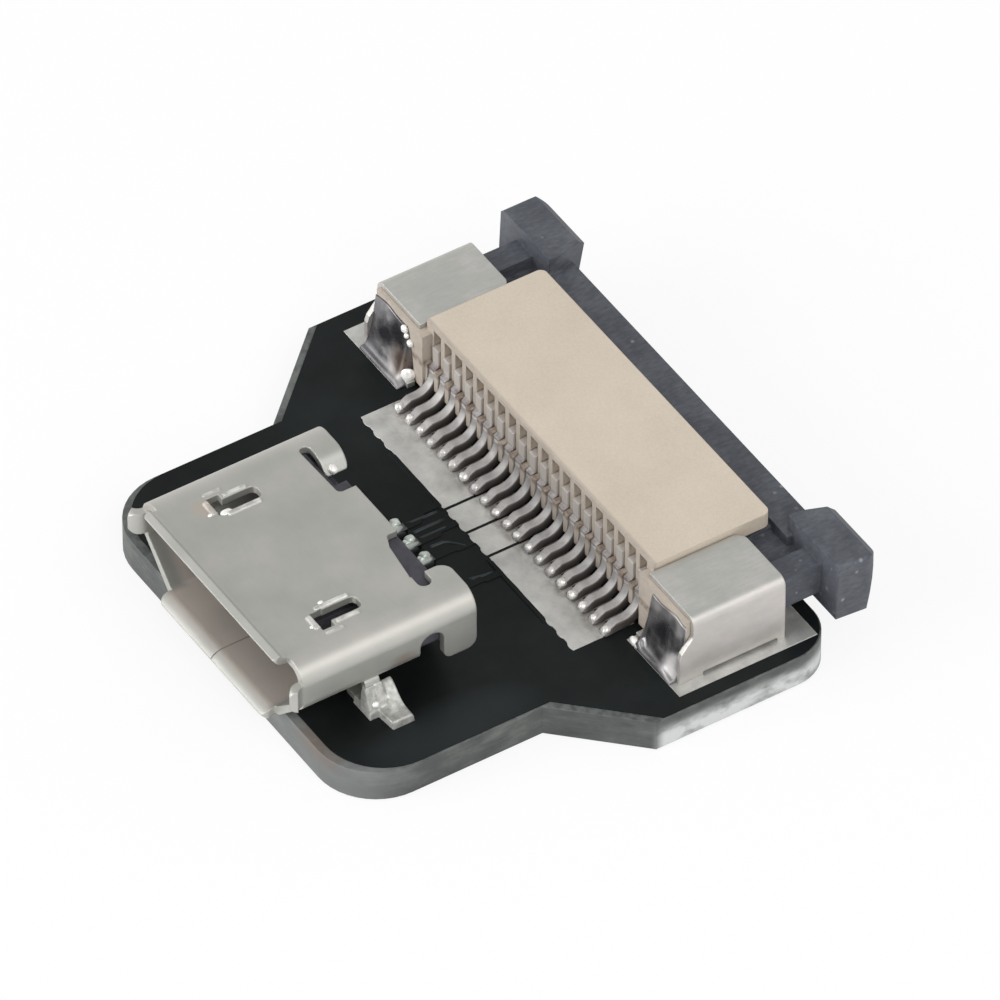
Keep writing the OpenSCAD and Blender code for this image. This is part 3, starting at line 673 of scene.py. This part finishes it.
def drops(name, lumps, look=None, power=1.0):
    """Drops that run into each other: (x, y from the toes, height above the pads, three radii).

    A power below 1 draws them towards a box."""
    bm = bmesh.new()
    for k, (x, y, z, *radii) in enumerate(lumps):
        centre = (x, TOE_Y + y, PAD_TOP + z)
        seed = Vector((x * 5.0, k * 3.0, 2))
        for vert in bmesh.ops.create_icosphere(bm, subdivisions=4, radius=1.0)["verts"]:
            swell = 1 + DROP_SWELL * noise.noise(vert.co * 1.3 + seed)
            off = [math.copysign(abs(c) ** power, c) * swell for c in vert.co]
            vert.co = Vector([middle + radius * c for middle, radius, c in zip(centre, radii, off)]) * MM
    piece(name, bm, "solder", look)


# Bright bead on each toe
BEAD_HEIGHT = 0.13
BEAD_RADII = (0.115, 0.125, 0.10)
rng = random.Random(7)
for i in range(1, WAYS + 1):
    x = lead_x(i) + rng.uniform(0.0, 0.05)
    y = rng.uniform(0.01, 0.08)
    size = rng.uniform(0.8, 1.15)
    drops("toe_bead_%02d" % i, [(x, y, BEAD_HEIGHT, *(radius * size for radius in BEAD_RADII))])

# On each tail of the receptacle a low mound, and two lumps to the left of its middle
TAIL_Y = FRONT + 5.60 - TOE_Y
TAIL_LUMP_X = (-1.19, -0.50, 0.19, 0.85, 1.50)
for i, x in enumerate(TAIL_LUMP_X, 1):
    drops("tail_solder_%d" % i, [
        (contact_x(i), TAIL_Y, 0.03, 0.155, 0.39, 0.175),
        (x, TAIL_Y + 0.16, 0.14, 0.135, 0.150, 0.15),
        (x + 0.04, TAIL_Y + 0.06, 0.12, 0.11, 0.13, 0.13)], "solder.tail", 0.78)


# Solder over the lugs of the receptacle, in distances from the middle and the front of the shell

LUG_NEAR = 1.61
LUG_FAR = 2.55
LUG_START = 3.15
LUG_STRIP_REACH = 3.92
LUG_FOOT_REACH = 4.50
LUG_COVER = 0.235
LUG_ROUNDING = 0.06
LUG_UNDERSIDE = BOARD + 0.004
LUG_WAVER = 0.03
# The strip's top slants down outwards, through one point, and is cut off at a height
STRIP_POINT = 3.60
STRIP_POINT_HEIGHT = 1.01
STRIP_FALL = 2.87
STRIP_TOP = 0.88
SLOPE_HEIGHT = 0.46
# Between these pairs of distances a form begins or ends: the first three are across, then along
STRIP_START = (3.38, 3.50)
SLOPE_START = (3.30, 3.45)
SLOPE_END = (3.45, 4.15)
STRIP_END = (2.11, 2.22)
FOOT_START = (1.86, 1.93)


def lug_height(across, along, edge, seed):
    """Height of the solder: it climbs the strip at the wall and thins out over the foot."""
    strip = min(STRIP_TOP, STRIP_POINT_HEIGHT - STRIP_FALL * (across - STRIP_POINT))
    strip *= smoothstep(*STRIP_START, across)
    slope = SLOPE_HEIGHT * (1 - smoothstep(*SLOPE_END, across)) * smoothstep(*SLOPE_START, across)
    on_strip = 1 - smoothstep(*STRIP_END, along)
    height = LUG_COVER + on_strip * max(0, strip - LUG_COVER) + (1 - on_strip) * slope
    height += LUG_WAVER * noise.noise(Vector((across * 2.6, along * 2.6, seed)))
    inward = min(1, edge / LUG_ROUNDING)
    height *= math.sqrt(max(0, 1 - (1 - inward) ** 2))
    return max(height, LOWEST)


def lug_skin(side, seed, rows=44, columns=70):
    grid = []
    for i in range(rows + 1):
        along = LUG_NEAR + (LUG_FAR - LUG_NEAR) * i / rows
        wider = (LUG_FOOT_REACH - LUG_STRIP_REACH) * smoothstep(*FOOT_START, along)
        reach = LUG_STRIP_REACH + wider
        row = []
        for j in range(columns + 1):
            across = LUG_START + (reach - LUG_START) * j / columns
            edge = min(along - LUG_NEAR, LUG_FAR - along, reach - across)
            height = lug_height(across, along, edge, seed)
            row.append((USB_X + side * across, FRONT + along, BOARD + height))
        grid.append(row)
    piece("lug_solder_" + side_word(side), height_field(grid, LUG_UNDERSIDE), "solder", "solder.lug")


lug_skin(-1, 3.0)
lug_skin(1, 5.0)


# Solder in front of the tabs, in distances from the middle of the board and from the toes

FILLET_INNER = 5.40
FILLET_OUTER = TAB_HALF - 0.13
FILLET_FRONT = 0.38
FILLET_REAR = 0.87
FILLET_BASE = 0.04
FILLET_RISE = 1.66
FILLET_CURVE = 2.4
FILLET_TOP = 1.86
FILLET_WAVER = 0.05
FILLET_UNDERSIDE = PAD_TOP + 0.002


def fillet_height(x, y, across, deep, seed, lumps):
    """Height above the pad, at a share of the way across and of the way to the end block."""
    rise = FILLET_RISE + 0.16 * noise.noise(Vector((across * 2.2, seed, 0)))
    bulge = 0.06 * math.exp(-((deep - 0.10) / 0.16) ** 2)
    height = FILLET_BASE + rise * deep ** FILLET_CURVE + bulge
    # Rounded over at the inner edge, and low at the front rim
    height *= 0.10 + 0.90 * smoothstep(-0.02, 0.17, across) ** 0.6
    height *= smoothstep(-0.08, 0.10, deep)
    height += FILLET_WAVER * noise.noise(Vector((x * 1.5, y * 1.6, seed)))
    for lump_x, lump_y, wide, high in lumps:
        height += high * math.exp(-((x - lump_x) / wide) ** 2 - ((y - lump_y) / wide) ** 2)
    return max(LOWEST, min(height, FILLET_TOP))


def fillet(side, seed, lumps, rows=72, columns=40):
    """Concave solder drawn up from the pad to the end block, with lumps (x, y, width, height)."""
    grid = []
    for i in range(rows + 1):
        across = i / rows
        x = FILLET_INNER + (FILLET_OUTER - FILLET_INNER) * across
        row = []
        for j in range(columns + 1):
            deep = j / columns
            y = FILLET_FRONT + (FILLET_REAR - FILLET_FRONT) * deep
            height = fillet_height(x, y, across, deep, seed, lumps)
            row.append((side * x, TOE_Y + y, PAD_TOP + height))
        grid.append(row)
    word = side_word(side)
    obj = piece("tab_fillet_" + word, height_field(grid, FILLET_UNDERSIDE), "solder", "solder.fillet")
    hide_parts("tab_solder_" + word)


fillet(-1, 2.0, [(5.62, 0.66, 0.15, 0.16)])
fillet(1, 9.0, [(5.66, 0.50, 0.12, 0.14), (6.75, 0.66, 0.22, 0.20)])

# Drop at the inner corner of the left pad, and small ones on the edges of the two fillets, painted nearly
# white as highlights
drops("corner_drop_highlight", [(-5.58, 0.79, 0.26, 0.26, 0.22, 0.24)], "solder.painted_highlight")
drops("edge_drop_highlights", [
    (-5.75, 0.83, 1.60, 0.11, 0.09, 0.12),
    (-5.66, 0.83, 1.43, 0.07, 0.07, 0.08),
    (-5.50, 0.83, 1.29, 0.10, 0.08, 0.11)], "solder.painted_highlight")
drops("rim_drop_highlights", [
    (5.46, 0.46, 0.07, 0.16, 0.10, 0.12),
    (5.62, 0.44, 0.05, 0.12, 0.07, 0.08)], "solder.painted_highlight")

# Painted highlights: nearly white drops on the bent tongue, at the corners of the latch windows and on
# the right lug
drops("tongue_highlight", [(-1.96, -3.71, 2.15, 0.16, 0.14, 0.13)], "solder.painted_highlight")
drops("window_highlights", [
    (-1.90, -7.31, 2.47, 0.05, 0.09, 0.055),
    (-1.80, -6.92, 2.47, 0.10, 0.17, 0.055),
    (2.18, -6.66, 2.47, 0.06, 0.08, 0.05),
    (2.80, -7.29, 2.46, 0.06, 0.07, 0.05)], "solder.painted_highlight")
drops("lug_highlight", [(4.10, -6.29, 0.34, 0.10, 0.10, 0.09)], "solder.painted_highlight")


# Ridges in the mask along the edges of the traces

RIDGE_HALF = 0.05
RIDGE_HEIGHT = 0.034
RIDGE_STEPS = 10
RIDGE_END = 0.1


def trace_edge(name, points):
    """Low ridge through points (x, y from the toes), nearly flat at both ends."""
    offsets = [-RIDGE_HALF + 2 * RIDGE_HALF * k / RIDGE_STEPS for k in range(RIDGE_STEPS + 1)]
    bows = [math.sqrt(max(0, math.cos(off / RIDGE_HALF * math.pi / 2))) for off in offsets]
    rings = []
    for k, (x, y) in enumerate(points):
        height = RIDGE_HEIGHT * (RIDGE_END if k in (0, len(points) - 1) else 1)
        crown = [(x + off, TOE_Y + y, BOARD + height * bow) for off, bow in zip(offsets, bows)]
        base = [(x + off, TOE_Y + y, BOARD - SINK) for off in reversed(offsets)]
        rings.append(crown + base)
    piece(name, loft(rings), "solder_mask", "solder_mask.trace_highlight")


trace_edge("trace_edge_1", [
    (-1.19, -2.00), (-1.17, -1.90), (-1.16, -1.60), (-1.16, -1.30), (-1.17, -1.12)])
trace_edge("trace_edge_2", [
    (-0.84, -2.06), (-0.83, -1.98), (-0.83, -1.60), (-0.83, -1.30), (-0.84, -1.14)])
trace_edge("trace_edge_3", [
    (-0.57, -2.04), (-0.56, -1.95), (-0.56, -1.60), (-0.56, -1.30), (-0.57, -1.14)])
trace_edge("trace_edge_4", [
    (-0.17, -2.00), (-0.17, -1.90), (-0.15, -1.60), (-0.06, -1.47), (0.10, -1.33),
    (0.24, -1.22), (0.32, -1.13)])
trace_edge("trace_edge_5", [
    (1.32, -1.78), (1.34, -1.68), (1.40, -1.40), (1.42, -1.22), (1.42, -1.12)])


# Mask over the front edges of the outer bars of pads

RIM_STEPS = 60
RIM_FADE = 4
RIM_WIDTH = 0.13
RIM_OVERLAP = 0.005
RIM_DRAWBACK = 0.07
RIM_WAVER = 0.012
RIM_LIP = 0.014


def mask_rim(name, first, last):
    """Strip of mask that makes the scalloped edge of a bar straight, and fades at both ends."""
    outer = PAD_FRONT - RIM_WIDTH
    rings = []
    for k in range(RIM_STEPS + 1):
        x = first + (last - first) * k / RIM_STEPS
        cover = smoothstep(0, RIM_FADE, k) * smoothstep(0, RIM_FADE, RIM_STEPS - k)
        waver = RIM_WAVER * noise.noise(Vector((x * 2.5, 3, 1)))
        inner = PAD_FRONT + RIM_OVERLAP - RIM_DRAWBACK * (1 - cover) + waver
        top = PAD_TOP + RIM_LIP * cover
        section = [
            (outer, BOARD - SINK), (inner, BOARD - SINK), (inner, top - 0.010),
            (inner - 0.008, top - 0.003), (inner - 0.02, top), (outer + 0.03, top - 0.006),
            (outer, BOARD + 0.002)]
        rings.append([(x, y, z) for y, z in section])
    piece(name, loft(rings), "solder_mask")


mask_rim("mask_rim_left", lead_x(4) - 0.32, lead_x(8) + 0.12)
mask_rim("mask_rim_right", lead_x(13) - 0.30, lead_x(18) - 0.10)


# Stage and light, with places and sizes in metres

FLOOR_HALF = 3.0
FLOOR_DROP = 0.00002
FLOOR_GREY = (0.93, 0.93, 0.93, 1)
FLOOR_GLOW = 0.85
WHITE = (1, 1, 1, 1)
SKY_AS_LIGHT = 0.55
SKY_OVERHEAD = 0.62


def backdrop_material():
    """Pale floor that shows the object's shadow, but looks nearly white itself."""
    material = bpy.data.materials.new("pale_floor")
    tree = Tree(material)
    plain = tree.node("ShaderNodeBsdfDiffuse")
    tree.feed(plain.inputs[0], FLOOR_GREY)
    glow = tree.node("ShaderNodeEmission")
    tree.feed(glow.inputs[0], WHITE)
    tree.feed(glow.inputs[1], 1.0)
    rays = tree.node("ShaderNodeLightPath").outputs
    seen = tree.math("MAXIMUM", rays["Is Camera Ray"], rays["Is Glossy Ray"])
    seen = tree.math("MAXIMUM", seen, rays["Is Transmission Ray"])
    both = tree.node("ShaderNodeMixShader")
    tree.feed(both.inputs[0], tree.times(seen, FLOOR_GLOW))
    tree.feed(both.inputs[1], plain.outputs[0])
    tree.feed(both.inputs[2], glow.outputs[0])
    out = tree.node("ShaderNodeOutputMaterial")
    tree.feed(out.inputs[0], both.outputs[0])
    return material


def studio_world():
    """World that is white to the camera, and dimmer as a light."""
    world = bpy.data.worlds.new("studio")
    tree = Tree(world)
    rays = tree.node("ShaderNodeLightPath").outputs
    direction = tree.node("ShaderNodeSeparateXYZ")
    tree.feed(direction.inputs[0], tree.node("ShaderNodeTexCoord").outputs["Generated"])
    # Seen in a reflection: white at the horizon, a little darker overhead
    reflected = tree.node("ShaderNodeMapRange")
    tree.feed(reflected.inputs["Value"], direction.outputs["Z"])
    tree.feed(reflected.inputs["From Min"], 0.0)
    tree.feed(reflected.inputs["From Max"], 0.9)
    tree.feed(reflected.inputs["To Min"], 1.0)
    tree.feed(reflected.inputs["To Max"], SKY_OVERHEAD)
    indirect = tree.node("ShaderNodeMix")
    tree.feed(indirect.inputs[0], rays["Is Glossy Ray"])
    tree.feed(indirect.inputs[2], SKY_AS_LIGHT)
    tree.feed(indirect.inputs[3], reflected.outputs[0])
    strength = tree.node("ShaderNodeMix")
    tree.feed(strength.inputs[0], rays["Is Camera Ray"])
    tree.feed(strength.inputs[2], indirect.outputs[0])
    tree.feed(strength.inputs[3], 1.0)
    background = tree.node("ShaderNodeBackground")
    tree.feed(background.inputs[0], WHITE)
    tree.feed(background.inputs[1], strength.outputs[0])
    out = tree.node("ShaderNodeOutputWorld")
    tree.feed(out.inputs[0], background.outputs[0])
    return world


def softbox(name, place, size, power):
    """Square lamp that points at the origin."""
    data = bpy.data.lights.new(name, "AREA")
    data.shape = "SQUARE"
    data.size = size
    data.energy = power
    lamp = bpy.data.objects.new(name, data)
    bpy.context.scene.collection.objects.link(lamp)
    lamp.location = place
    lamp.rotation_euler = (-Vector(place)).to_track_quat("-Z", "Y").to_euler()


floor_mesh = bpy.data.meshes.new("floor")
corners = [(-1, -1), (1, -1), (1, 1), (-1, 1)]
floor_mesh.from_pydata([(x * FLOOR_HALF, y * FLOOR_HALF, 0) for x, y in corners], [], [(0, 1, 2, 3)])
floor_mesh.materials.append(backdrop_material())
floor = bpy.data.objects.new("floor", floor_mesh)
bpy.context.scene.collection.objects.link(floor)
floor.location.z = -FLOOR_DROP

bpy.context.scene.world = studio_world()
softbox("key", place=(0.42, -0.02, 0.42), size=0.42, power=1.6)
softbox("fill", place=(-0.08, -0.50, 0.15), size=0.45, power=2.6)


# Camera, fitted to the photograph: its place in millimetres, and two of its axes

CAMERA_PLACE = (252.83, -160.36, 293.36)
CAMERA_RIGHT = (0.5395, 0.8420, 0.0)
CAMERA_BACK = (0.6041, -0.3870, 0.6967)

camera_data = bpy.data.cameras.new("camera")
camera_data.sensor_width = 36.0
camera_data.lens = 603.15
camera_data.clip_start = 0.01
camera_data.clip_end = 10.0
camera = bpy.data.objects.new("camera", camera_data)
bpy.context.scene.collection.objects.link(camera)
right = Vector(CAMERA_RIGHT).normalized()
back = Vector(CAMERA_BACK).normalized()
turn = Matrix((right, back.cross(right), back)).transposed()
camera.matrix_world = Matrix.Translation(Vector(CAMERA_PLACE) * MM) @ turn.to_4x4()
bpy.context.scene.camera = camera

bpy.context.scene.view_settings.view_transform = "Standard"
